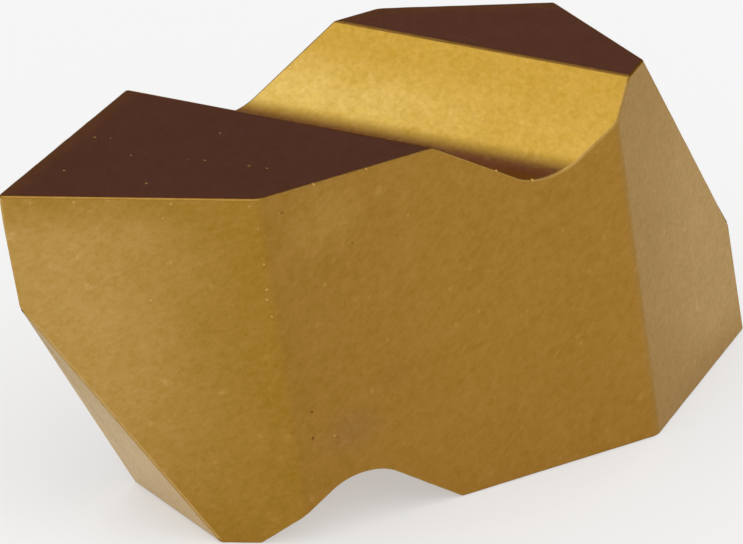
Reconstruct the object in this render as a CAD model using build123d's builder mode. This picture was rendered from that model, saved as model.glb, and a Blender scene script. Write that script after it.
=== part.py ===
"""Notched carbide insert with a 60 degree threading nose at each end.

Frame: +X along the insert from one nose to the other, +Y from side wall to side wall,
+Z up, with the origin at the middle of the insert's length and width on its lower face.
The insert is double-ended: a half turn about the line along Y through its middle carries
one nose, its flanks, its end seat and its clamp notch to those of the other end.
All sizes are in millimetres and degrees.
"""

from build123d import *
import math
import os

# Overall block
length = 16.64  # over the two nose radii, before the edges are honed
height = 7.2  # between the upper and the lower ground face
width = 4.95  # between the two side walls

# Noses: two flanks meet at a tip on the middle plane of the width
front_half_angle = 33.0  # flank on the -Y side of the -X tip, from the length direction
back_half_angle = 27.0  # flank on its +Y side
front_clearance = 6.3  # lean of the -Y flank under its cutting edge
back_clearance = 6.9  # lean of the +Y flank under its cutting edge
nose_radius = 0.05
flank_blend = 0.4  # pressed round from a flank to its side wall

# End seats: the sloping faces under the noses
nose_depth = 2.24  # from the tip down the sharp nose edge to the seat, square to the ground face
seat_slope = 55.2  # from the ground faces

# Clamp notches: pressed V grooves that cross the ground faces askew
notch_skew = 35.5  # groove direction, turned from the width direction
long_wall_reach = 4.15  # top of the long wall at the -Y side wall, from mid-length
long_wall_slope = 37.6
upper_short_reach = 0.775  # top of the upper notch's short wall, from mid-length
upper_short_slope = 35.5
lower_short_reach = 0.215  # the lower notch is pressed narrower
lower_short_slope = 37.3
notch_root_radius = 0.93

edge_hone = 0.03

half_width = width / 2
bisector = math.radians(front_half_angle + back_half_angle) / 2
sharp_tip = length / 2 + nose_radius * (1 / math.sin(bisector) - 1)
skew = math.radians(notch_skew)
notch_run = 2 * width / math.cos(skew)  # clears both side walls


def turned(plane):
    """The plane after a half turn about the line along Y through the block's middle."""
    half_turn = Pos(0, 0, height) * Rot(0, 180, 0)
    return Plane(half_turn * plane.location)


def flank_plane(half_angle, clearance, side):
    """Plane of one flank of the -X nose, facing out of the metal."""
    turn = math.radians(half_angle)
    lean = math.radians(clearance)
    outward = (
        -math.sin(turn) * math.cos(lean),
        side * math.cos(turn) * math.cos(lean),
        -math.sin(lean),
    )
    return Plane(origin=(-sharp_tip, 0, height), z_dir=outward)


def seat_plane():
    """Plane of the end seat under the -X nose, facing out of the metal.

    It starts on the sharp nose edge, where the two leaning flanks meet.
    """
    front = math.radians(front_half_angle)
    back = math.radians(back_half_angle)
    front_lean = math.tan(math.radians(front_clearance))
    back_lean = math.tan(math.radians(back_clearance))
    nose_lean = (front_lean * math.cos(back) + back_lean * math.cos(front)) / math.sin(front + back)
    start = (-sharp_tip + nose_depth * nose_lean, 0, height - nose_depth)
    slope = math.radians(seat_slope)
    return Plane(origin=start, z_dir=(-math.sin(slope), 0, -math.cos(slope)))


def notch_plane():
    """Plane square to the upper groove, through mid-length at the -Y side wall."""
    return Plane(
        origin=(0, -half_width, height),
        x_dir=(math.cos(skew), math.sin(skew), 0),
        z_dir=(math.sin(skew), -math.cos(skew), 0),
    )


def notch_section(short_reach, short_slope):
    """V section of a groove with a rounded root, run on a little above the ground face."""
    short_rise = math.tan(math.radians(short_slope))
    long_rise = math.tan(math.radians(long_wall_slope))
    short_top = -short_reach * math.cos(skew)
    long_top = long_wall_reach * math.cos(skew)
    root = (short_top * short_rise + long_top * long_rise) / (short_rise + long_rise)
    depth = (root - short_top) * short_rise
    over = depth / 2
    with BuildSketch() as section:
        with BuildLine():
            Polyline(
                (short_top - over / short_rise, over),
                (root, -depth),
                (long_top + over / long_rise, over),
                close=True,
            )
        make_face()
        fillet(section.vertices().group_by(Axis.Y)[0], radius=notch_root_radius)
    return section.sketch


with BuildPart() as insert:
    # Blank, longer than the noses
    Box(2 * sharp_tip + width, width, height, align=(Align.CENTER, Align.CENTER, Align.MIN))

    # Flanks of both noses
    for half_angle, clearance, side in (
        (front_half_angle, front_clearance, -1),
        (back_half_angle, back_clearance, 1),
    ):
        flank = flank_plane(half_angle, clearance, side)
        split(bisect_by=flank, keep=Keep.BOTTOM)
        split(bisect_by=turned(flank), keep=Keep.BOTTOM)

    # Nose radii
    steep = insert.edges().filter_by(lambda edge: abs(edge.tangent_at(0.5).Z) > 0.5)
    noses = steep.filter_by(lambda edge: abs(edge.center().Y) < half_width / 2)
    fillet(noses, radius=nose_radius)

    # Rounds from the flanks to the side walls
    steep = insert.edges().filter_by(lambda edge: abs(edge.tangent_at(0.5).Z) > 0.5)
    corners = steep.filter_by(lambda edge: abs(edge.center().Y) > half_width / 2)
    fillet(corners, radius=flank_blend)

    # End seats
    split(bisect_by=seat_plane(), keep=Keep.BOTTOM)
    split(bisect_by=turned(seat_plane()), keep=Keep.BOTTOM)

    # Clamp notch across the upper ground face
    with BuildSketch(notch_plane()):
        add(notch_section(upper_short_reach, upper_short_slope))
    extrude(amount=notch_run, both=True, mode=Mode.SUBTRACT)

    # Clamp notch across the lower ground face
    with BuildSketch(turned(notch_plane())):
        add(notch_section(lower_short_reach, lower_short_slope))
    extrude(amount=notch_run, both=True, mode=Mode.SUBTRACT)

    # Hone on every edge
    fillet(insert.edges(), radius=edge_hone)

os.makedirs("parts", exist_ok=True)
insert.part.label = "insert"
export_step(insert.part, "parts/insert.step")
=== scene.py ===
"""Finish and studio for a notched carbide insert with a threading nose at each end.

The insert is one pressed and ground piece under a gold nitride coat. Its visual mesh is
cut from a block in the order in which the real form is made: flanks, noses, end seats,
clamp notches and last the hone on every edge. Lengths in this file are millimetres,
angles are degrees, and meshes are brought to metres when they are finished.
"""

import logging
import math
import random
from dataclasses import dataclass, field
from enum import Enum
from functools import cached_property

import bmesh
import bpy
from mathutils import Matrix, Vector, noise
from mathutils.bvhtree import BVHTree


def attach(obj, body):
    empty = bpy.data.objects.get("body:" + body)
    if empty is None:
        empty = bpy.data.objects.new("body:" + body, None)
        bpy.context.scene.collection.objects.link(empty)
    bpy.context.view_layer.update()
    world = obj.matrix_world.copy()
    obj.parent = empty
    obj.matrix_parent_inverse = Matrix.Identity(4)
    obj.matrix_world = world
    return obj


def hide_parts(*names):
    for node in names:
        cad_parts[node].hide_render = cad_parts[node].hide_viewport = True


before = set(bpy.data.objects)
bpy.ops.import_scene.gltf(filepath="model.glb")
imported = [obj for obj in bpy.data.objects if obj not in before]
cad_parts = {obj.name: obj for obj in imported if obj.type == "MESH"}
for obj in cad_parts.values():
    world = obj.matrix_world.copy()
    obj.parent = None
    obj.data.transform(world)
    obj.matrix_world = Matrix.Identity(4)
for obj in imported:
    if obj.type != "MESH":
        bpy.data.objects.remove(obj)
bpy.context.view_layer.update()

log = logging.getLogger("insert")

MM = 0.001  # metres in a millimetre
TOUCH = 1e-5  # how close to a plane a place counts as on it
NEAR = 1e-4  # the same where cuts have moved the place
STEEP = 0.5  # vertical share from which a direction counts as upright
FLAT_TURN = 0.05  # a smaller turn between two faces is none
HONED_TURN = 18.0  # edges that turn by more are honed
HONE_WAVES = ((2.5, 1.0), (9.0, 0.5))  # waves in a millimetre of hone, and their share
NOISE_SWING = 0.25  # how far cloudy noise mostly swings about its middle
NOISE_LIMITS = (0.3, 0.7)  # between these lies nearly all of it
FLECK_PEAKS = (0.6, 0.78)  # noise at which a fleck starts, and at which it is full
MIDDLE = (-1.0, 1.0)  # over this stretch of the length the left end becomes the right one
OUTSIDE = 10.0  # a distance from the insert's middle that is clear of it
WHITE = (1.0, 1.0, 1.0)
PALING = (1.0, 1.15, 3.4)  # how strongly each channel follows the coat's lightness
BODY = "root"
CAD_NODE = "insert"
FLANK_SHARE = "flank_share"

Colour = tuple[float, float, float]
Place = tuple[float, float, float]
Limits = tuple[float, float]
Socket = bpy.types.NodeSocket
Feed = float | Colour | Socket
Piece = bpy.types.Object
Edge = bmesh.types.BMEdge
Face = bmesh.types.BMFace
Part = bmesh.types.BMVert | Edge | Face


class Surface(Enum):
    """Kinds of surface on the insert. The value is the index of the mesh's material slot."""

    SIDE = 0
    GROUND_FACE = 1
    END_SEAT = 2
    NOTCH = 3
    HONE = 4


# --- shape


@dataclass(frozen=True)
class Facet:
    """A plane that bounds the metal."""

    point: Vector  # any point of the plane
    normal: Vector  # unit normal, which points out of the metal

    def height(self, place: Vector) -> float:
        """Signed distance of a place from the plane, positive outside the metal."""
        return (place - self.point).dot(self.normal)

    def turned(self, height: float) -> "Facet":
        """The same facet of the other end, half a turn about the middle of a block that high."""
        point, normal = self.point, self.normal
        return Facet(Vector((-point.x, point.y, height - point.z)), Vector((-normal.x, normal.y, -normal.z)))


def to_object(shape: bmesh.types.BMesh, name: str) -> Piece:
    """Makes a smooth object of a shape and brings it from millimetres to metres.

    Args:
        shape: the shape, which is freed.
        name: name of the object and of its mesh.

    Returns:
        The object, linked to the scene.
    """
    for face in shape.faces:
        face.smooth = True
    bmesh.ops.scale(shape, vec=(MM, MM, MM), verts=shape.verts)
    mesh = bpy.data.meshes.new(name)
    shape.to_mesh(mesh)
    shape.free()
    piece = bpy.data.objects.new(name, mesh)
    bpy.context.scene.collection.objects.link(piece)
    return piece


@dataclass
class InsertBody:
    """The coated insert: its sizes, its mesh and its dress."""

    sharp_tip: float = 8.37  # the unrounded nose, from mid-length
    height: float = 7.2  # from the lower to the upper ground face
    width: float = 4.95  # between the side walls
    front_half_angle: float = 33.0  # front flank of the left nose, from the length direction
    back_half_angle: float = 27.0  # back flank of the left nose
    front_clearance: float = 6.3  # lean of the front flank
    back_clearance: float = 6.9  # lean of the back flank
    left_nose_radius: float = 0.1  # round of the left nose at its cutting face, where it is worn
    nose_radius: float = 0.048  # round of the fresh right nose, and of the left one under its wear
    wear_depth: float = 0.3  # how far down its edge the left nose's wear fades
    wear_spacing: float = 0.15  # distance between the rings down that nose
    flank_blend: float = 0.4  # round from a flank to its side wall
    nose_depth: float = 2.24  # from the nose down its edge to the end seat
    seat_slope: float = 55.2  # end seat, from the ground face
    notch_skew: float = 35.5  # direction of the notches, from the width direction
    long_wall_reach: float = 4.15  # top of the long notch wall at the front, from mid-length
    long_wall_slope: float = 37.6  # long notch wall, from the ground face
    upper_short_reach: float = 0.775  # top of the upper notch's short wall at the front
    upper_short_slope: float = 35.5  # that wall, from the ground face
    lower_short_reach: float = 0.215  # the same of the lower notch, which is narrower
    lower_short_slope: float = 37.3  # the same of the lower notch
    notch_root_radius: float = 0.93  # round at the bottom of both notches
    edge_hone: float = 0.042  # round on every edge
    edge_step: float = 0.15  # spacing of the points along a honed edge
    hone_unevenness: float = 0.004  # how far the honed edge wanders inwards
    nose_segments: int = 12  # strips in the round of a nose
    wear_steps: int = 10  # rings down the worn nose
    blend_segments: int = 12  # strips in the round from a flank to its side wall
    root_segments: int = 24  # strips in the round of a notch's root
    hone_segments: int = 4  # strips in the round of an edge
    # The mesh that the methods shape, in millimetres. build() starts it.
    mesh: bmesh.types.BMesh = field(init=False, repr=False)

    @property
    def half_width(self) -> float:
        """Distance of a side wall from the middle plane."""
        return self.width / 2

    def flank(self, side: int) -> Facet:
        """Flank of the left nose.

        Args:
            side: -1 for the front flank, 1 for the back one.

        Returns:
            The flank's facet, through the sharp nose.
        """
        turn = math.radians(self.front_half_angle if side < 0 else self.back_half_angle)
        lean = math.radians(self.front_clearance if side < 0 else self.back_clearance)
        level = math.cos(lean)
        normal = Vector((-math.sin(turn) * level, side * math.cos(turn) * level, -math.sin(lean)))
        return Facet(Vector((-self.sharp_tip, 0, self.height)), normal)

    def flanks(self) -> list[Facet]:
        """The four flanks, two at each end."""
        left = [self.flank(side) for side in (-1, 1)]
        return left + [facet.turned(self.height) for facet in left]

    def end_seat(self) -> Facet:
        """End seat under the left nose.

        Returns:
            The seat's facet, which meets the leaned nose at its depth.
        """
        front, back = math.radians(self.front_half_angle), math.radians(self.back_half_angle)
        front_lean = math.tan(math.radians(self.front_clearance))
        back_lean = math.tan(math.radians(self.back_clearance))
        nose_lean = (front_lean * math.cos(back) + back_lean * math.cos(front)) / math.sin(front + back)
        slope = math.radians(self.seat_slope)
        start = Vector((self.nose_depth * nose_lean - self.sharp_tip, 0, self.height - self.nose_depth))
        return Facet(start, Vector((-math.sin(slope), 0, -math.cos(slope))))

    def notch_walls(self, short_reach: float, short_slope: float) -> list[Facet]:
        """Long and short wall of the upper notch.

        Args:
            short_reach: top of the short wall at the front side wall, from mid-length.
            short_slope: slope of the short wall, from the ground face.

        Returns:
            The facets of both walls.
        """
        skew = math.radians(self.notch_skew)
        across = Vector((math.cos(skew), math.sin(skew), 0))
        walls = []
        sizes = ((self.long_wall_reach, self.long_wall_slope, -1), (-short_reach, short_slope, 1))
        for reach, slope, lean in sizes:
            tilt = math.radians(slope)
            normal = across * lean * math.sin(tilt) + Vector((0, 0, math.cos(tilt)))
            walls.append(Facet(Vector((reach, -self.half_width, self.height)), normal))
        return walls

    def root_line(self) -> float:
        """Place of the upper notch's sharp root.

        Returns:
            Its distance from mid-length at the front, square to the notch.
        """
        short_rise = math.tan(math.radians(self.upper_short_slope))
        long_rise = math.tan(math.radians(self.long_wall_slope))
        root = self.long_wall_reach * long_rise - self.upper_short_reach * short_rise
        return root * math.cos(math.radians(self.notch_skew)) / (short_rise + long_rise)

    def build(self) -> Piece:
        """Cuts the insert from its block.

        Returns:
            The finished object, in metres, in the shared frame.
        """
        self.mesh = bmesh.new()
        self.cut_blank()
        self.round_upright_edges()
        for seat in (self.end_seat(), self.end_seat().turned(self.height)):
            self.close(self.cut(seat, clear=True), Surface.END_SEAT)
        self.press_notch(self.notch_walls(self.upper_short_reach, self.upper_short_slope))
        lower = self.notch_walls(self.lower_short_reach, self.lower_short_slope)
        self.press_notch([wall.turned(self.height) for wall in lower])
        self.hone_edges()
        return self.finish_mesh()

    def cut_blank(self) -> None:
        """Makes the block and cuts the four flanks."""
        bmesh.ops.create_cube(self.mesh, size=1)
        block = Vector((2 * self.sharp_tip + self.width, self.width, self.height))
        bmesh.ops.scale(self.mesh, vec=block, verts=self.mesh.verts)
        bmesh.ops.translate(self.mesh, vec=(0, 0, self.height / 2), verts=self.mesh.verts)
        for face in self.mesh.faces:
            upright = abs(face.normal.z) < math.sin(math.radians(HONED_TURN))
            face.material_index = (Surface.SIDE if upright else Surface.GROUND_FACE).value
        for facet in self.flanks():
            self.close(self.cut(facet, clear=True), Surface.SIDE)

    def cut(self, facet: Facet, parts: list[Part] | None = None, clear: bool = False) -> list[Edge]:
        """Cuts the mesh, or parts of it, along a facet.

        Args:
            facet: the cutting plane.
            parts: what is cut, or None for the whole mesh.
            clear: whether what lies outside the facet is cut away.

        Returns:
            The edges of the cut.
        """
        made = bmesh.ops.bisect_plane(
            self.mesh,
            geom=parts or [*self.mesh.verts, *self.mesh.edges, *self.mesh.faces],
            dist=TOUCH,
            plane_co=facet.point,
            plane_no=facet.normal,
            clear_outer=clear,
        )
        return [part for part in made["geom_cut"] if isinstance(part, Edge)]

    def close(self, rim: list[Edge], surface: Surface) -> None:
        """Closes a ring of edges with one face.

        Args:
            rim: the ring's edges.
            surface: the new face's kind of surface.
        """
        made = bmesh.ops.contextual_create(self.mesh, geom=rim)
        for face in made["faces"]:
            face.material_index = surface.value
        bmesh.ops.recalc_face_normals(self.mesh, faces=self.mesh.faces)

    def round_upright_edges(self) -> None:
        """Rounds the two noses and the four corners from flank to side wall."""
        upright = [
            edge
            for edge in self.mesh.edges
            if abs((edge.verts[0].co - edge.verts[1].co).normalized().z) > STEEP
        ]
        for edge in upright:
            middle = (edge.verts[0].co + edge.verts[1].co) / 2
            if abs(middle.y) > self.half_width / 2:
                self.round_edge(edge, self.flank_blend, self.blend_segments)
            elif middle.x > 0:
                self.round_edge(edge, self.nose_radius, self.nose_segments)
            else:
                self.wear_left_nose(self.round_edge(edge, self.left_nose_radius, self.nose_segments))

    def wear_left_nose(self, strips: list[Face]) -> None:
        """Draws the left nose's round in towards its sharp edge below the worn cutting face.

        Args:
            strips: the faces of the round, from the lower ground face to the upper one.
        """
        front, back = (self.flank(side) for side in (-1, 1))
        run = front.normal.cross(back.normal)
        for step in range(1, self.wear_steps + 1):
            ring = Facet(Vector((0, 0, self.height - step * self.wear_spacing)), Vector((0, 0, 1)))
            self.cut(ring, list({part for face in strips for part in (face, *face.edges, *face.verts)}))
            strips = [face for face in self.mesh.faces if self.beside_left_nose(face)]
        least = self.nose_radius / self.left_nose_radius
        for vert in {vert for face in strips for vert in face.verts}:
            depth = self.height - vert.co.z
            sharp = front.point - run * (depth / run.z)
            share = least + (1 - least) * math.exp(-depth / self.wear_depth)
            vert.co = sharp.lerp(vert.co, share)

    def beside_left_nose(self, face: Face) -> bool:
        """Tells whether a face is a strip of the left nose's round.

        Args:
            face: the face.

        Returns:
            True where it is upright, near the nose and on neither flank.
        """
        middle = face.calc_center_median()
        near = middle.x < 0 and abs(middle.y) < self.half_width / 2
        off_flanks = all(abs(self.flank(side).height(middle)) >= TOUCH for side in (-1, 1))
        return near and off_flanks and abs(face.normal.z) < STEEP

    def bevel(self, edges: list[Edge], offset: float, segments: int, material: int) -> dict[str, list]:
        """Rounds edges of the mesh.

        Args:
            edges: the edges.
            offset: width of the round on the faces beside each edge.
            segments: strips in the round.
            material: its material slot, or -1 for that of the faces beside it.

        Returns:
            The faces, edges and verts of the rounds.
        """
        return bmesh.ops.bevel(
            self.mesh,
            geom=edges,
            offset=offset,
            offset_type="OFFSET",
            segments=segments,
            profile=0.5,
            affect="EDGES",
            clamp_overlap=False,
            material=material,
        )

    def round_edge(self, edge: Edge, radius: float, segments: int) -> list[Face]:
        """Rounds an edge by a radius with some strips, and gives the faces of the round."""
        offset = radius * math.tan(edge.calc_face_angle() / 2)
        return self.bevel([edge], offset, segments, material=-1)["faces"]

    def press_notch(self, walls: list[Facet]) -> None:
        """Presses one clamp notch into its ground face.

        Args:
            walls: facets of its two walls.
        """
        for wall in walls:
            self.cut(wall)
        middles = ((face, face.calc_center_median()) for face in self.mesh.faces)
        pressed = [face for face, middle in middles if all(wall.height(middle) > TOUCH for wall in walls)]
        bmesh.ops.delete(self.mesh, geom=pressed, context="FACES")
        rim = [edge for edge in self.mesh.edges if edge.is_boundary]
        corners = {vert for edge in rim for vert in edge.verts}
        root = self.mesh.edges.new(
            [vert for vert in corners if all(abs(wall.height(vert.co)) < NEAR for wall in walls)]
        )
        for wall in walls:
            side = [edge for edge in rim if all(abs(wall.height(vert.co)) < NEAR for vert in edge.verts)]
            self.close([*side, root], Surface.NOTCH)
        verts, edges = self.mesh.verts, self.mesh.edges
        turn = math.radians(FLAT_TURN)
        bmesh.ops.dissolve_limit(self.mesh, angle_limit=turn, verts=verts, edges=edges, delimit={"MATERIAL"})
        root = min(edges, key=lambda edge: sum(abs(wall.height(v.co)) for wall in walls for v in edge.verts))
        self.round_edge(root, self.notch_root_radius, self.root_segments)

    def sharp_edges(self) -> list[Edge]:
        """The edges that turn by enough to be honed."""
        return [edge for edge in self.mesh.edges if edge.calc_face_angle(0) > math.radians(HONED_TURN)]

    def hone_edges(self) -> None:
        """Rounds every sharp edge a little, and lets the round wander as a brushed hone does."""
        for edge in self.sharp_edges():
            cuts = int(edge.calc_length() / self.edge_step)
            if cuts:
                bmesh.ops.subdivide_edges(self.mesh, edges=[edge], cuts=cuts)
        honed = self.bevel(self.sharp_edges(), self.edge_hone, self.hone_segments, Surface.HONE.value)
        strip = set(honed["faces"])
        crest = [vert for vert in honed["verts"] if strip.issuperset(vert.link_faces)]
        bmesh.ops.recalc_face_normals(self.mesh, faces=self.mesh.faces)
        self.mesh.normal_update()
        for vert in crest:
            wander = 1 + sum(share * noise.noise(vert.co * fineness) for fineness, share in HONE_WAVES)
            vert.co -= vert.normal * max(0.0, wander) * self.hone_unevenness

    def finish_mesh(self) -> Piece:
        """Notes how near each point lies to a flank and makes the object.

        Returns:
            The object, with normals that keep its flat faces flat.
        """
        flanks = self.flanks()
        share = self.mesh.verts.layers.float.new(FLANK_SHARE)
        for vert in self.mesh.verts:
            to_wall = max(0.0, self.half_width - abs(vert.co.y))
            to_flank = max(0.0, min(-facet.height(vert.co) for facet in flanks))
            vert[share] = to_wall / max(TOUCH, to_wall + to_flank)
        self.mesh.normal_update()
        normals = [self.shading_normal(vert) for vert in self.mesh.verts]
        piece = to_object(self.mesh, "threading_insert")
        piece.data.normals_split_custom_set_from_vertices(normals)
        return piece

    def dress(self, piece: Piece, coats: dict[Surface, "Coat"]) -> None:
        """Gives every surface of the finished piece the coat of its kind."""
        for surface in Surface:
            piece.data.materials.append(coats[surface].material())

    def shading_normal(self, vert: bmesh.types.BMVert) -> Vector:
        """Works out a normal that keeps flat faces flat and rounds smooth up to the honed edges.

        Args:
            vert: a point of the mesh.

        Returns:
            The normal, by area, of the faces there, without the hone where there is another.
        """
        ground = [face for face in vert.link_faces if face.material_index != Surface.HONE.value]
        faces = ground or vert.link_faces
        return sum((face.normal * face.calc_area() for face in faces), Vector()).normalized()


# --- finish


class Graph:
    """Node tree of a material or a world, with short calls for the nodes of this file."""

    def __init__(self, owner: bpy.types.Material | bpy.types.World) -> None:
        """Starts from the owner's default nodes."""
        owner.use_nodes = True
        self.tree = owner.node_tree

    def node(self, kind: str, **settings: object) -> bpy.types.Node:
        """Adds a node.

        Args:
            kind: the node's Blender type.
            settings: properties to set on it.

        Returns:
            The new node.
        """
        made = self.tree.nodes.new(kind)
        for name, value in settings.items():
            setattr(made, name, value)
        return made

    def link(self, output: Socket, target: Socket) -> None:
        """Joins two sockets."""
        self.tree.links.new(output, target)

    def feed(self, target: Socket, value: Feed) -> None:
        """Gives a socket a number, a colour, a place or another socket's output.

        Args:
            target: the socket that is fed.
            value: what it gets.
        """
        if isinstance(value, Socket):
            self.link(value, target)
        elif target.type == "RGBA":
            target.default_value = (*value, 1)
        else:
            target.default_value = value

    def step(self, kind: str, operation: str, values: tuple[Feed, ...]) -> bpy.types.Node:
        """Adds a step of arithmetic.

        Args:
            kind: the node's Blender type.
            operation: Blender's name for what it does.
            values: its numbers or vectors, in order.

        Returns:
            The new node.
        """
        made = self.node(kind, operation=operation)
        for target, value in zip(made.inputs, values):
            self.feed(target, value)
        return made

    def math(self, operation: str, *values: Feed) -> Socket:
        """Adds a step of arithmetic on numbers."""
        return self.step("ShaderNodeMath", operation, values).outputs["Value"]

    def vector(self, operation: str, *values: Feed, result: str = "Vector") -> Socket:
        """Adds a step of arithmetic on vectors, which gives a Vector or a Value."""
        return self.step("ShaderNodeVectorMath", operation, values).outputs[result]

    def span(self, factor: Feed, low: float, high: float, start: float = 0.0, end: float = 1.0) -> Socket:
        """Maps a factor smoothly from one span to another.

        Args:
            factor: the value to map.
            low: the value that becomes start.
            high: the value that becomes end.
            start: the result at and below low.
            end: the result at and above high.

        Returns:
            The mapped value.
        """
        mapped = self.node("ShaderNodeMapRange", interpolation_type="SMOOTHSTEP")
        for name, number in (("From Min", low), ("From Max", high), ("To Min", start), ("To Max", end)):
            mapped.inputs[name].default_value = number
        self.feed(mapped.inputs["Value"], factor)
        return mapped.outputs["Result"]

    def mix(self, factor: Feed, first: Feed, second: Feed) -> Socket:
        """Mixes two colours.

        Args:
            factor: 0 for the first colour, 1 for the second.
            first: a colour, or a socket that gives one.
            second: the same.

        Returns:
            The mixed colour.
        """
        mixed = self.node("ShaderNodeMix", data_type="RGBA")
        self.feed(mixed.inputs["Factor"], factor)
        for name, colour in (("A", first), ("B", second)):
            self.feed(next(s for s in mixed.inputs if s.name == name and s.type == "RGBA"), colour)
        return next(s for s in mixed.outputs if s.type == "RGBA")

    def mix_value(self, factor: Feed, first: Feed, second: Feed) -> Socket:
        """Mixes two numbers, of which a factor of 0 gives the first and 1 the second."""
        return self.math("MULTIPLY_ADD", factor, self.math("SUBTRACT", second, first), first)

    def lighten(self, colour: Feed, lightness: Feed) -> Socket:
        """Lightens a colour, which makes it paler too, or darkens it.

        Args:
            colour: the colour.
            lightness: how much of the colour is added to it.

        Returns:
            The lighter or darker colour.
        """
        added = self.node("ShaderNodeVectorMath", operation="SCALE")
        added.inputs["Vector"].default_value = PALING
        self.feed(added.inputs["Scale"], lightness)
        return self.vector("MULTIPLY", colour, self.vector("ADD", added.outputs["Vector"], WHITE))


class CoatGraph(Graph):
    """Node tree of one coat, which knows where a place lies on the insert, in millimetres."""

    def __init__(self, owner: bpy.types.Material) -> None:
        """Reads the place on the insert.

        Args:
            owner: the coat's material.
        """
        super().__init__(owner)
        self.body = InsertBody()
        coordinates = self.node("ShaderNodeTexCoord")
        scaled = self.node("ShaderNodeMapping")
        scaled.inputs["Scale"].default_value = (1 / MM,) * 3
        self.link(coordinates.outputs["Object"], scaled.inputs["Vector"])
        self.place = scaled.outputs["Vector"]
        axes = self.node("ShaderNodeSeparateXYZ")
        self.link(self.place, axes.inputs["Vector"])
        self.along, self.across, self.up = (axes.outputs[name] for name in "XYZ")

    @cached_property
    def right(self) -> Socket:
        """0 towards the left end of the insert, 1 towards the right one."""
        return self.span(self.along, *MIDDLE)

    @cached_property
    def down(self) -> Socket:
        """Distance from the cutting face of the end where the place lies."""
        return self.mix_value(self.right, self.math("SUBTRACT", self.body.height, self.up), self.up)

    @cached_property
    def from_ground(self) -> Socket:
        """Distance from the nearer ground face."""
        middle = self.body.height / 2
        return self.math("SUBTRACT", middle, self.apart(self.up, middle))

    @cached_property
    def forward(self) -> Socket:
        """Place along the insert, counted the other way in its lower half."""
        end = self.math("SIGN", self.math("SUBTRACT", self.up, self.body.height / 2))
        return self.math("MULTIPLY", self.along, end)

    def apart(self, value: Socket, other: float) -> Socket:
        """How far a value is from a number, either way."""
        return self.math("ABSOLUTE", self.math("SUBTRACT", value, other))

    def depth(self, facet: Facet) -> Socket:
        """Depth of the place under a facet."""
        along = self.vector("DOT_PRODUCT", self.place, tuple(facet.normal), result="Value")
        return self.math("SUBTRACT", facet.point.dot(facet.normal), along)

    def noise(self, layer: "Layer") -> Socket:
        """Cloudy noise over the insert.

        Args:
            layer: its scale and kind.

        Returns:
            A factor of about 0.2 to 0.8.
        """
        stretched = self.node("ShaderNodeMapping", vector_type="TEXTURE")
        stretched.inputs["Rotation"].default_value = [math.radians(turn) for turn in layer.turn]
        stretched.inputs["Scale"].default_value = [1 / fineness for fineness in layer.stretch]
        self.link(self.place, stretched.inputs["Vector"])
        cloud = self.node("ShaderNodeTexNoise", noise_dimensions="4D")
        for name, number in (("Scale", layer.scale), ("Detail", layer.detail), ("W", layer.seed)):
            cloud.inputs[name].default_value = number
        self.link(stretched.outputs["Vector"], cloud.inputs["Vector"])
        return cloud.outputs["Fac"]

    def swing(self, layer: "Layer") -> Socket:
        """The same noise as it swings about 0, mostly by the layer's strength."""
        gain = layer.strength / NOISE_SWING
        return self.math("MULTIPLY_ADD", self.noise(layer), gain, -gain / 2)


@dataclass(frozen=True)
class Layer:
    """One layer of unevenness in a coat."""

    scale: float  # cycles in a millimetre
    strength: float = 0.0  # how far it mostly swings
    detail: float = 2.0  # octaves
    seed: float = 0.0  # picks another pattern of the same kind
    stretch: Place = (1.0, 1.0, 1.0)  # how much finer the pattern is along each axis
    turn: Place = (0.0, 0.0, 0.0)  # turn of the pattern about each axis, in degrees


@dataclass(frozen=True)
class Blemish:
    """A mark in the coat: a pit, a stain, a fleck or a rubbed patch."""

    place: Place  # its middle
    reach: Place  # its half-size along each axis
    colour: Colour  # the coat's colour there
    share: float = 1.0  # how much of that colour shows at the middle
    core: float = 0.3  # share of the reach over which the mark is full
    raggedness: float = 0.3  # how far its outline wanders, as a share of the reach

    def cover(self, graph: CoatGraph, wander: Socket) -> Socket:
        """Works out how much of the mark shows.

        Args:
            graph: the coat's node tree.
            wander: a noise that makes the outline ragged.

        Returns:
            A factor, 0 outside the mark.
        """
        offset = graph.vector("DIVIDE", graph.vector("SUBTRACT", graph.place, self.place), self.reach)
        distance = graph.vector("LENGTH", offset, result="Value")
        distance = graph.math("MULTIPLY_ADD", wander, self.raggedness, distance)
        shift = self.raggedness / 2
        return graph.span(distance, self.core + shift, 1 + shift, self.share, 0.0)


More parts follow.
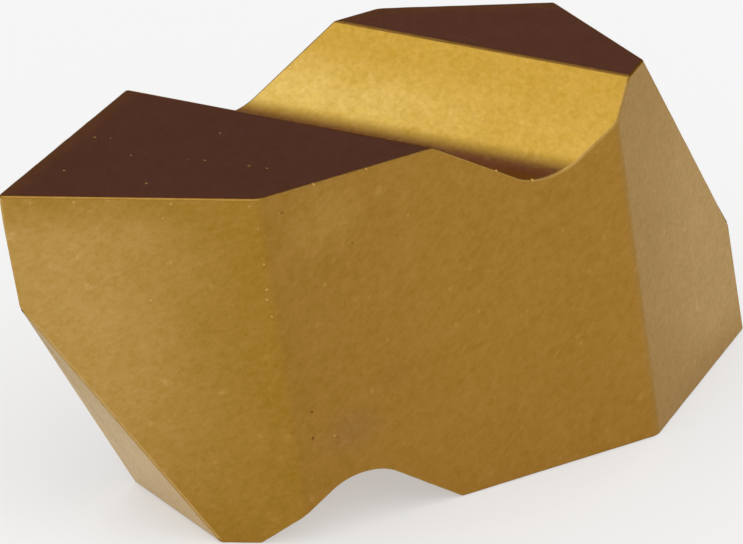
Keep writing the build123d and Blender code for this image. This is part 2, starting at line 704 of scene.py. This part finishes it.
@dataclass(frozen=True)
class Coat:
    """Gold nitride coat as it looks on one kind of surface."""

    name: str  # the material's name
    colour: Colour  # the coat's main colour
    layers: tuple[Layer, ...] = ()  # its clouds and its grain
    roughness: Limits = (0.3, 0.4)  # of the smoothest and of the roughest patch
    relief: Layer = Layer(12.0, seed=4)  # pattern of the fine relief
    relief_height: float = 0.0006  # height of the relief
    blemishes: tuple[Blemish, ...] = ()  # marks in it
    outline: Layer = Layer(16.0, seed=9)  # noise that makes their outlines ragged
    edge_tint: Colour = (1.0, 0.94, 0.78)  # what becomes of white in a glancing reflection
    flecks: Layer | None = None  # pattern of sparse paler flecks, and how much paler they are

    def tone(self, graph: CoatGraph) -> Feed:
        """Gives the coat's colour before its unevenness, or a socket that gives it."""
        return self.colour

    def lightness(self, graph: CoatGraph) -> Feed:
        """Adds the layers up.

        Args:
            graph: the coat's node tree.

        Returns:
            How much lighter the coat is at a place, about 0.
        """
        total: Feed = 0.0
        for layer in self.layers:
            total = graph.math("ADD", total, graph.swing(layer))
        if self.flecks:
            sparse = graph.span(graph.noise(self.flecks), *FLECK_PEAKS, 0.0, self.flecks.strength)
            total = graph.math("ADD", total, sparse)
        return total

    def material(self) -> bpy.types.Material:
        """Makes the material.

        Returns:
            The new material.
        """
        material = bpy.data.materials.new(self.name)
        graph = CoatGraph(material)
        metal = graph.tree.nodes["Principled BSDF"]
        metal.inputs["Metallic"].default_value = 1.0
        metal.inputs["Specular Tint"].default_value = (*self.edge_tint, 1)
        colour = self.tone(graph)
        wander = graph.noise(self.outline) if self.blemishes else None
        for mark in self.blemishes:
            colour = graph.mix(mark.cover(graph, wander), colour, mark.colour)
        graph.link(graph.lighten(colour, self.lightness(graph)), metal.inputs["Base Color"])
        relief = graph.noise(self.relief)
        graph.link(graph.span(relief, *NOISE_LIMITS, *self.roughness), metal.inputs["Roughness"])
        bump = graph.node("ShaderNodeBump")
        bump.inputs["Distance"].default_value = self.relief_height * MM
        graph.link(relief, bump.inputs["Height"])
        graph.link(bump.outputs["Normal"], metal.inputs["Normal"])
        return material


@dataclass(frozen=True)
class SideCoat(Coat):
    """Coat of the side walls and of the flanks. Each flank is paler in its middle, partly its own ground
    finish and partly a painted reflection. It is painted darker towards its side wall, its ground-face edges
    and its foot, as painted shade. The noses carry a painted highlight.
    """

    redder: Colour = (0.345, 0.178, 0.03)  # colour of the walls towards the left nose
    reddening: Limits = (-4.5, 0.5)  # places along the insert between which that colour fades
    # Colours of the flanks of the left and of the right nose where their painted reflection is full, and the
    # darker painted shade beside their side walls.
    flanks: tuple[Colour, Colour] = ((0.5, 0.298, 0.077), (0.41, 0.24, 0.072))
    corners: tuple[Colour, Colour] = ((0.37, 0.198, 0.027), (0.33, 0.177, 0.034))
    corner_shade_width: float = 1.9  # how far that painted shade reaches from the side wall
    edge: Limits = (-0.05, 1.0)  # distances from the ground face between which the painted shade there fades
    edge_share: float = 0.25  # share of the flank's painted reflection colour at the ground face
    # Distances down from the cutting face between which the corner's painted shade returns.
    foot: Limits = (3.6, 7.4)
    foot_share: float = 0.2  # share of the flank's painted reflection colour below that
    wander: Layer = Layer(1.3, 0.15, detail=4, seed=12)  # unevenness of all those distances
    nose: Colour = (0.52, 0.32, 0.09)  # colour of the noses, a painted highlight
    nose_highlight_width: float = 0.06  # half-width of that painted highlight

    def tone(self, graph: CoatGraph) -> Socket:
        """Gives the colour over walls and flanks, with their painted reflection, painted shade and painted
        highlight.

        Args:
            graph: the coat's node tree.

        Returns:
            A socket that gives the colour.
        """
        wander = graph.swing(self.wander)
        off_plane = graph.math("ABSOLUTE", graph.across)
        from_wall = graph.math("SUBTRACT", graph.body.half_width, off_plane)
        inward = graph.span(graph.math("ADD", from_wall, wander), 0.0, self.corner_shade_width)
        off_edge = graph.span(graph.math("ADD", graph.from_ground, wander), *self.edge, self.edge_share, 1.0)
        off_foot = graph.span(graph.math("ADD", graph.down, wander), *self.foot, 1.0, self.foot_share)
        # painted reflection: share of the flank's paler colour over the corner's painted shade
        flank_reflection = graph.math("MULTIPLY", graph.math("MULTIPLY", inward, off_edge), off_foot)
        shaded_corner, flank = (graph.mix(graph.right, *ends) for ends in (self.corners, self.flanks))
        wall = graph.mix(graph.span(graph.along, *self.reddening), self.redder, self.colour)
        share = graph.node("ShaderNodeAttribute", attribute_name=FLANK_SHARE)
        coat = graph.mix(share.outputs["Fac"], wall, graph.mix(flank_reflection, shaded_corner, flank))
        # painted highlight along both noses
        off_nose_highlight = graph.span(off_plane, self.nose_highlight_width / 2, self.nose_highlight_width)
        return graph.mix(off_nose_highlight, self.nose, coat)


@dataclass(frozen=True)
class SeatCoat(Coat):
    """Coat of the end seats, painted paler towards the foot: a painted reflection of bright floor where the
    seat mirrors the object's shadow.
    """

    foot: Colour = (0.6, 0.43, 0.23)  # painted reflection colour at the foot
    painted_light_fade: Limits = (3.0, 6.4)  # distances down from the cutting face between which that painted reflection sets in

    def tone(self, graph: CoatGraph) -> Socket:
        """Gives a socket with the colour down the seat, painted paler towards the foot."""
        # painted reflection: paler towards the foot
        return graph.mix(graph.span(graph.down, *self.painted_light_fade), self.colour, self.foot)


@dataclass(frozen=True)
class HoneCoat(Coat):
    """Coat of the honed edges, with a painted highlight: paler away from the ground faces, most of all on
    the end seats' edges.
    """

    painted_edge_light: Colour = (0.42, 0.25, 0.06)  # painted highlight colour of the notches' edges
    seat_edge_light: Colour = (0.55, 0.35, 0.12)  # painted highlight colour of the end seats' edges
    near: Limits = (0.04, 0.12)  # distances from the ground face between which the painted highlight sets in
    # Distances from mid-length between which the notches' edges end and the seats' begin.
    far: Limits = (3.6, 4.2)

    def tone(self, graph: CoatGraph) -> Socket:
        """Gives a socket with the colour along the edges, with their painted highlight away from the ground
        faces.
        """
        # painted highlight on the edges away from the ground faces
        painted_edge_light = graph.mix(graph.span(graph.apart(graph.along, 0.0), *self.far), self.painted_edge_light, self.seat_edge_light)
        return graph.mix(graph.span(graph.from_ground, *self.near), self.colour, painted_edge_light)


@dataclass(frozen=True)
class GroundCoat(Coat):
    """Coat of the ground faces, with a browner rim along the back wall and the back flanks."""

    rim: Colour = (0.47, 0.29, 0.035)  # colour of the rim
    rim_fade: Limits = (-0.03, 0.42)  # distances from the edge between which it fades
    wander: Layer = Layer(5.0, 0.075, detail=4, seed=21)  # unevenness of those distances
    beyond: Colour = (0.425, 0.238, 0.05)  # colour of the part of each face beyond its notch

    def tone(self, graph: CoatGraph) -> Socket:
        """Gives the colour over the face and its rim.

        Args:
            graph: the coat's node tree.

        Returns:
            A socket that gives the colour.
        """
        nearest = graph.math("SUBTRACT", graph.body.half_width, graph.across)
        back = graph.body.flank(1)
        for facet in (back, back.turned(graph.body.height)):
            nearest = graph.math("MINIMUM", nearest, graph.depth(facet))
        ragged = graph.math("ADD", nearest, graph.swing(self.wander))
        colour = graph.mix(graph.span(graph.forward, *MIDDLE), self.colour, self.beyond)
        return graph.mix(graph.span(ragged, *self.rim_fade), self.rim, colour)


@dataclass(frozen=True)
class NotchCoat(Coat):
    """Coat of the clamp notches: redder in the root, with a painted highlight at the foot of the long wall.
    """

    root: Colour = (0.47, 0.22, 0.06)  # colour at the bottom of the root
    root_width: float = 0.5  # half-width of the redder strip
    pale: Colour = (0.56, 0.385, 0.1)  # painted highlight colour at the foot of the long wall, towards the back side wall
    highlight_foot: Limits = (1.7, 2.1)  # where the painted highlight band starts and where it is full, across the notch
    highlight_top: Limits = (2.2, 3.1)  # where it starts to end and where it ends, across the notch
    highlight_along: Limits = (-0.5, 4.0)  # places along the notch between which the band grows
    highlight_share: Limits = (0.2, 0.85)  # how much of it shows before and after that
    cloud: Layer = Layer(1.1, detail=5, seed=31)  # noise that makes the painted highlight cloudy
    cloud_limits: Limits = (0.25, 0.6)  # the noise where the band is thinnest and where it is full
    cloud_share: float = 0.5  # share of the band where it is thinnest

    def tone(self, graph: CoatGraph) -> Socket:
        """Gives the colour across a notch, with its painted highlight.

        Args:
            graph: the coat's node tree.

        Returns:
            A socket that gives the colour.
        """
        skew = math.radians(graph.body.notch_skew)
        inward = graph.math("ADD", graph.across, graph.body.half_width)
        across, along = (
            graph.math("MULTIPLY_ADD", graph.forward, level, graph.math("MULTIPLY", inward, square))
            for level, square in ((math.cos(skew), math.sin(skew)), (-math.sin(skew), math.cos(skew)))
        )
        off_root = graph.apart(across, graph.body.root_line())
        colour = graph.mix(graph.span(off_root, 0.0, self.root_width), self.root, self.colour)
        # painted highlight band at the foot of the long wall
        band = graph.span(across, *self.highlight_foot)
        for factor in (
            graph.span(across, *self.highlight_top, 1.0, 0.0),
            graph.span(along, *self.highlight_along, *self.highlight_share),
            graph.span(graph.noise(self.cloud), *self.cloud_limits, self.cloud_share, 1.0),
        ):
            band = graph.math("MULTIPLY", band, factor)
        return graph.mix(band, colour, self.pale)


# --- droplets


class Look(Enum):
    """Way of looking at the insert. A droplet's place is where the look meets the metal."""

    FRONT = (0.0, 1.0, 0.0)
    TOP = (0.0, 0.0, -1.0)


@dataclass(frozen=True)
class Droplet:
    """One bead of metal on the coat."""

    look: Look  # the look that its place is given by
    across: float  # its place along X
    rise: float  # its place along Z for a look from the front, along Y for one from above
    radius: float  # of its outline
    flatness: float = 0.16  # height as a share of the radius

    def start(self) -> Vector:
        """A place outside the insert from which the look starts."""
        front = self.look is Look.FRONT
        return Vector((self.across, -OUTSIDE, self.rise) if front else (self.across, self.rise, OUTSIDE))


@dataclass
class CoatDroplets:
    """Beads of metal that spat on to the insert while it was coated."""

    placed: tuple[Droplet, ...]  # the larger beads, each with its place
    scattered: int = 140  # number of small ones all over the insert
    smallest: float = 0.005  # radius of the smallest of those
    largest: float = 0.012  # radius of the largest
    flatness: float = 0.2  # height of a small bead, as a share of its radius
    ground_flatness: float = 0.08  # the same on a ground face
    seed: int = 7  # start of the scatter
    segments: int = 8  # faces round a bead
    rings: int = 5  # rings of faces in a bead
    # The mesh that the methods fill, in millimetres. build() starts it.
    mesh: bmesh.types.BMesh = field(init=False, repr=False)

    def build(self, insert: Piece) -> Piece:
        """Sets the beads on the insert.

        Args:
            insert: the finished insert.

        Returns:
            The beads, as one object in the shared frame.
        """
        self.mesh = bmesh.new()
        surface = insert.data
        corners = [vert.co / MM for vert in surface.vertices]
        tree = BVHTree.FromPolygons(corners, [face.vertices for face in surface.polygons])
        for droplet in self.placed:
            spot, normal, _, _ = tree.ray_cast(droplet.start(), Vector(droplet.look.value))
            self.set_bead(spot, normal, droplet.radius, droplet.flatness)
        self.scatter(surface)
        return to_object(self.mesh, "coat_droplets")

    def dress(self, piece: Piece, coat: Coat) -> None:
        """Gives the beads their coat."""
        piece.data.materials.append(coat.material())

    def scatter(self, surface: bpy.types.Mesh) -> None:
        """Sets the small beads at random places, as dense on every face.

        Args:
            surface: the insert's mesh.
        """
        chance = random.Random(self.seed)
        surface.calc_loop_triangles()
        triangles = [patch for patch in surface.loop_triangles if patch.material_index != Surface.HONE.value]
        chosen = chance.choices(triangles, weights=[patch.area for patch in triangles], k=self.scattered)
        for patch in chosen:
            first, second, third = (surface.vertices[index].co / MM for index in patch.vertices)
            a, b = sorted((chance.random(), chance.random()))
            spot = first * a + second * (b - a) + third * (1 - b)
            size = self.smallest + (self.largest - self.smallest) * chance.random() ** 2
            ground = patch.material_index == Surface.GROUND_FACE.value
            self.set_bead(spot, patch.normal, size, self.ground_flatness if ground else self.flatness)

    def set_bead(self, spot: Vector, normal: Vector, radius: float, flatness: float) -> None:
        """Adds one bead, sunk to its middle.

        Args:
            spot: its place on the metal.
            normal: the metal's normal there.
            radius: of its outline.
            flatness: height as a share of the radius.
        """
        stand = Matrix.Translation(spot) @ normal.to_track_quat("Z", "Y").to_matrix().to_4x4()
        bmesh.ops.create_uvsphere(
            self.mesh,
            u_segments=self.segments,
            v_segments=self.rings,
            radius=1,
            matrix=stand @ Matrix.Diagonal((radius, radius, radius * flatness, 1)),
        )


# --- studio


@dataclass(frozen=True)
class View:
    """Where the camera stands and how it looks at the insert."""

    azimuth: float = -37.236  # turn of the camera round the insert, from the front
    elevation: float = 27.554  # above the horizon
    roll: float = 2.685  # lean of the picture to the left
    aim: Place = (-0.158, 0.0, 3.484)  # the point that the lens axis passes through
    distance: float = 251.55  # from the camera to that point
    focal_length: float = 689.7  # on a sensor of 36 mm
    shown: Limits = (10.0, 10000.0)  # nearest and farthest distance that the camera shows

    def build(self) -> Piece:
        """Makes the scene's camera.

        Returns:
            The camera.
        """
        camera = bpy.data.objects.new("camera", bpy.data.cameras.new("camera"))
        bpy.context.scene.collection.objects.link(camera)
        camera.data.lens = self.focal_length
        camera.data.clip_start, camera.data.clip_end = (distance * MM for distance in self.shown)
        pose = Matrix.Translation(Vector(self.aim) * MM)
        for angle, axis in ((self.azimuth, "Z"), (90 - self.elevation, "X"), (self.roll, "Z")):
            pose @= Matrix.Rotation(math.radians(angle), 4, axis)
        camera.matrix_world = pose @ Matrix.Translation((0, 0, self.distance * MM))
        bpy.context.scene.camera = camera
        return camera


@dataclass(frozen=True)
class Studio:
    """Pale floor, a soft lamp overhead and a dark flag behind the insert."""

    floor_radius: float = 3000.0  # radius of the floor
    floor_segments: int = 96  # sides of the floor
    floor_colour: Colour = (0.5, 0.5, 0.5)  # the floor's colour
    floor_roughness: float = 0.9  # its roughness
    floor_glow: float = 0.44  # light that comes up through the floor, as the camera and mirrors show it
    lamp_place: Place = (-148.0, -118.0, 260.0)  # middle of the lamp
    lamp_radius: float = 210.0  # radius of the lamp
    lamp_radiance: float = 0.7  # what a mirror shows of the lamp, over the surroundings
    flag_radius: float = 420.0  # distance of the flag, which is part of a dome
    flag_low: float = 0.5  # elevation of the flag's lower edge
    flag_high: float = 62.0  # elevation of its upper edge
    flag_azimuth: float = 150.0  # middle of the flag, from the front
    flag_width: float = 160.0  # how far round it reaches
    flag_rows: int = 16  # rows of faces from its lower edge to its upper one
    flag_columns: int = 48  # columns of faces round it
    flag_colour: Colour = (0.18, 0.112, 0.25)  # what a mirror shows of the flag
    sky: float = 0.8  # brightness of the surroundings as light on the floor

    def build(self) -> None:
        """Sets up the whole studio."""
        bpy.context.scene.view_settings.view_transform = "Standard"
        self.make_world()
        self.make_floor()
        self.make_lamp()
        self.make_flag()

    def shown(self, graph: Graph) -> Socket:
        """Tells the rays that show a thing from the rays that light by it.

        Args:
            graph: the node tree that asks.

        Returns:
            1 for a ray of the camera, of a reflection or through glass, and 0 for others.
        """
        path = graph.node("ShaderNodeLightPath")
        seen = graph.math("MAXIMUM", path.outputs["Is Camera Ray"], path.outputs["Is Glossy Ray"])
        return graph.math("MAXIMUM", seen, path.outputs["Is Transmission Ray"])

    def make_world(self) -> None:
        """White to the camera and in every reflection, softer as light on the floor."""
        world = bpy.data.worlds.new("surroundings")
        bpy.context.scene.world = world
        graph = Graph(world)
        background = graph.tree.nodes["Background"]
        graph.feed(background.inputs["Color"], WHITE)
        strength = graph.node("ShaderNodeMapRange")
        strength.inputs["To Min"].default_value = self.sky
        strength.inputs["To Max"].default_value = 1.0
        graph.link(self.shown(graph), strength.inputs["Value"])
        graph.link(strength.outputs["Result"], background.inputs["Strength"])

    def make_floor(self) -> None:
        """A pale round floor."""
        disc = bmesh.new()
        bmesh.ops.create_circle(disc, cap_ends=True, segments=self.floor_segments, radius=self.floor_radius)
        floor = to_object(disc, "floor")
        material = bpy.data.materials.new("floor_paint")
        graph = Graph(material)
        paint = graph.tree.nodes["Principled BSDF"]
        graph.feed(paint.inputs["Base Color"], self.floor_colour)
        graph.feed(paint.inputs["Emission Color"], WHITE)
        paint.inputs["Roughness"].default_value = self.floor_roughness
        paint.inputs["Specular IOR Level"].default_value = 0.0
        glow = graph.math("MULTIPLY", self.shown(graph), self.floor_glow)
        graph.link(glow, paint.inputs["Emission Strength"])
        floor.data.materials.append(material)

    def make_lamp(self) -> None:
        """A round soft lamp overhead, to the front and the left."""
        data = bpy.data.lights.new("overhead_lamp", "AREA")
        data.shape = "DISK"
        data.size = 2 * self.lamp_radius * MM
        data.energy = self.lamp_radiance * math.pi * math.pi * (self.lamp_radius * MM) ** 2
        lamp = bpy.data.objects.new("overhead_lamp", data)
        lamp.location = Vector(self.lamp_place) * MM
        lamp.visible_camera = False
        bpy.context.scene.collection.objects.link(lamp)

    def make_flag(self) -> None:
        """A dark part of a dome behind the insert, which only reflections show."""
        band = bmesh.new()
        low, width = math.radians(self.flag_low), math.radians(self.flag_width)
        start = band.verts.new((0, -self.flag_radius * math.cos(low), self.flag_radius * math.sin(low)))
        rise = math.radians(self.flag_low - self.flag_high)
        bmesh.ops.spin(band, geom=[start], axis=(1, 0, 0), angle=rise, steps=self.flag_rows)
        turn = Matrix.Rotation(math.radians(self.flag_azimuth - self.flag_width / 2), 3, "Z")
        bmesh.ops.rotate(band, matrix=turn, verts=band.verts)
        arc = [*band.verts, *band.edges]
        bmesh.ops.spin(band, geom=arc, axis=(0, 0, 1), angle=width, steps=self.flag_columns)
        flag = to_object(band, "flag")
        material = bpy.data.materials.new("flag_cloth")
        graph = Graph(material)
        graph.tree.nodes.clear()
        glow = graph.node("ShaderNodeEmission")
        graph.feed(glow.inputs["Color"], self.flag_colour)
        output = graph.node("ShaderNodeOutputMaterial")
        graph.link(glow.outputs["Emission"], output.inputs["Surface"])
        flag.data.materials.append(material)
        flag.visible_camera = flag.visible_diffuse = False
        flag.visible_shadow = flag.visible_transmission = False


MOTTLE = (
    Layer(18.0, 0.05, seed=2),
    Layer(7.0, 0.05, seed=3),
    Layer(2.8, 0.032, seed=5),
    Layer(1.1, 0.03, seed=8),
)
STREAKS = Layer(5.5, 0.06, detail=3, seed=14, stretch=(1.0, 1.0, 2.0), turn=(0.0, -40.0, 0.0))
FRONT_WALL = -InsertBody().half_width
# Place of each paler fleck of the front wall, along X and Z.
FLECKS = (
    *((2.14, 4.8), (2.8, 3.8), (-0.3, 4.29), (0.37, 3.67), (-0.12, 3.53), (2.68, 2.4)),
    *((0.82, 1.81), (1.46, 1.05), (-1.91, 2.72), (-3.04, 5.14), (-1.3, 6.03)),
)
# Stains and pits of the front wall: place along X and Z, reach, colour and, for a stain, the
# share of the colour, the core and the raggedness.
STAINS = (
    ((-3.1, 6.4), (1.3, 0.3, 1.0), (0.425, 0.235, 0.05), 0.7, 0.0, 0.6),
    ((-1.98, 6.66), (0.11, 0.2, 0.18), (0.45, 0.26, 0.06), 0.6, 0.0, 0.8),
    ((-1.4, 6.4), (0.16, 0.2, 0.5), (0.43, 0.25, 0.05), 0.3, 0.0, 0.8),
    ((-2.3, 2.05), (0.9, 0.3, 0.65), (0.335, 0.172, 0.044), 0.9, 0.0, 0.6),
    ((-1.5, 2.9), (0.75, 0.3, 0.6), (0.345, 0.175, 0.03), 0.8, 0.0, 0.8),
    ((-3.2, 2.66), (0.04, 0.1, 0.035), (0.16, 0.05, 0.015)),
    ((-3.15, 2.13), (0.035, 0.1, 0.05), (0.17, 0.06, 0.012)),
    ((-2.61, 2.0), (0.03, 0.1, 0.03), (0.2, 0.09, 0.02)),
    ((-4.04, 6.81), (0.045, 0.1, 0.03), (0.2, 0.09, 0.015)),
    ((-2.49, 5.8), (0.03, 0.1, 0.035), (0.2, 0.1, 0.015)),
    *((fleck, (0.06, 0.1, 0.08), (0.47, 0.27, 0.06), 0.7, 0.0, 0.8) for fleck in FLECKS),
)
WALL_MARKS = tuple(Blemish((x, FRONT_WALL, z), *mark) for (x, z), *mark in STAINS)
COATS = {
    Surface.SIDE: SideCoat(
        "side_coat",
        (0.37, 0.19, 0.03),
        (*MOTTLE, STREAKS),
        blemishes=WALL_MARKS,
        flecks=Layer(4.0, 0.22, detail=4, seed=41),
    ),
    Surface.GROUND_FACE: GroundCoat("ground_coat", (0.385, 0.215, 0.046), MOTTLE, (0.18, 0.25)),
    Surface.END_SEAT: SeatCoat("seat_coat", (0.46, 0.31, 0.135), MOTTLE),
    Surface.NOTCH: NotchCoat("notch_coat", (0.42, 0.25, 0.037), (Layer(9.0, 0.05, seed=5), *MOTTLE)),
    Surface.HONE: HoneCoat(
        "honed_coat",
        (0.34, 0.185, 0.036),
        (Layer(6.0, 0.1, seed=6),),
        (0.35, 0.45),
        edge_tint=(0.6, 0.45, 0.3),
    ),
}
DROPLET_COAT = Coat("droplet_coat", (0.52, 0.31, 0.075), (), (0.35, 0.45))
# Place of each bead along X and Z, or along X and Y on the upper ground face, and its radius.
TALL_BEADS = ((-5.93, 5.08, 0.043), (-4.26, 5.34, 0.035), (-4.24, 5.13, 0.032))
FRONT_BEADS = (
    *((-4.13, 4.78, 0.027), (-4.35, 5.86, 0.027), (-4.51, 6.6, 0.024), (-6.24, 3.32, 0.03)),
    *((-7.24, 5.85, 0.03), (-7.23, 7.09, 0.035), (-5.82, 7.09, 0.03), (-7.86, 7.07, 0.027)),
    *((-5.91, 6.8, 0.024), (-4.68, 7.06, 0.024), (-8.08, 6.29, 0.035), (-7.68, 5.24, 0.03)),
    *((-7.81, 5.73, 0.022), (-7.46, 6.61, 0.019), (-2.68, 2.05, 0.024)),
)
EDGE_LINE = -2.463  # place across the insert of the nodules on its front upper edge
# Place of each nodule along X, and its radius.
EDGE_NODULES = ((-3.38, 0.034), (-2.25, 0.03), (0.6, 0.03), (1.41, 0.042))
TOP_BEADS = (
    *((-5.61, 0.95, 0.028), (-5.4, 0.78, 0.022), (-5.47, 0.06, 0.028), (-6.79, 0.2, 0.031)),
    *((-5.85, -0.94, 0.034), (-3.65, -0.06, 0.025), (-3.94, -1.33, 0.034), (-3.73, -1.57, 0.025)),
    (-4.48, -0.76, 0.031),
)
DROPLETS = (
    *(Droplet(Look.FRONT, *bead, flatness=0.35) for bead in TALL_BEADS),
    *(Droplet(Look.FRONT, *bead) for bead in FRONT_BEADS),
    *(Droplet(Look.TOP, x, EDGE_LINE, radius, flatness=0.8) for x, radius in EDGE_NODULES),
    *(Droplet(Look.TOP, *bead, flatness=0.07) for bead in TOP_BEADS),
)


def main() -> None:
    """Builds the insert, dresses it and sets the studio round it."""
    logging.basicConfig(level=logging.INFO, format="%(name)s: %(message)s")
    View().build()
    Studio().build()
    body = InsertBody()
    insert = body.build()
    body.dress(insert, COATS)
    beads = CoatDroplets(DROPLETS)
    droplets = beads.build(insert)
    beads.dress(droplets, DROPLET_COAT)
    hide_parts(CAD_NODE)
    for piece in (insert, droplets):
        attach(piece, BODY)
        log.info("%s: %d faces", piece.name, len(piece.data.polygons))


if __name__ == "__main__":
    main()
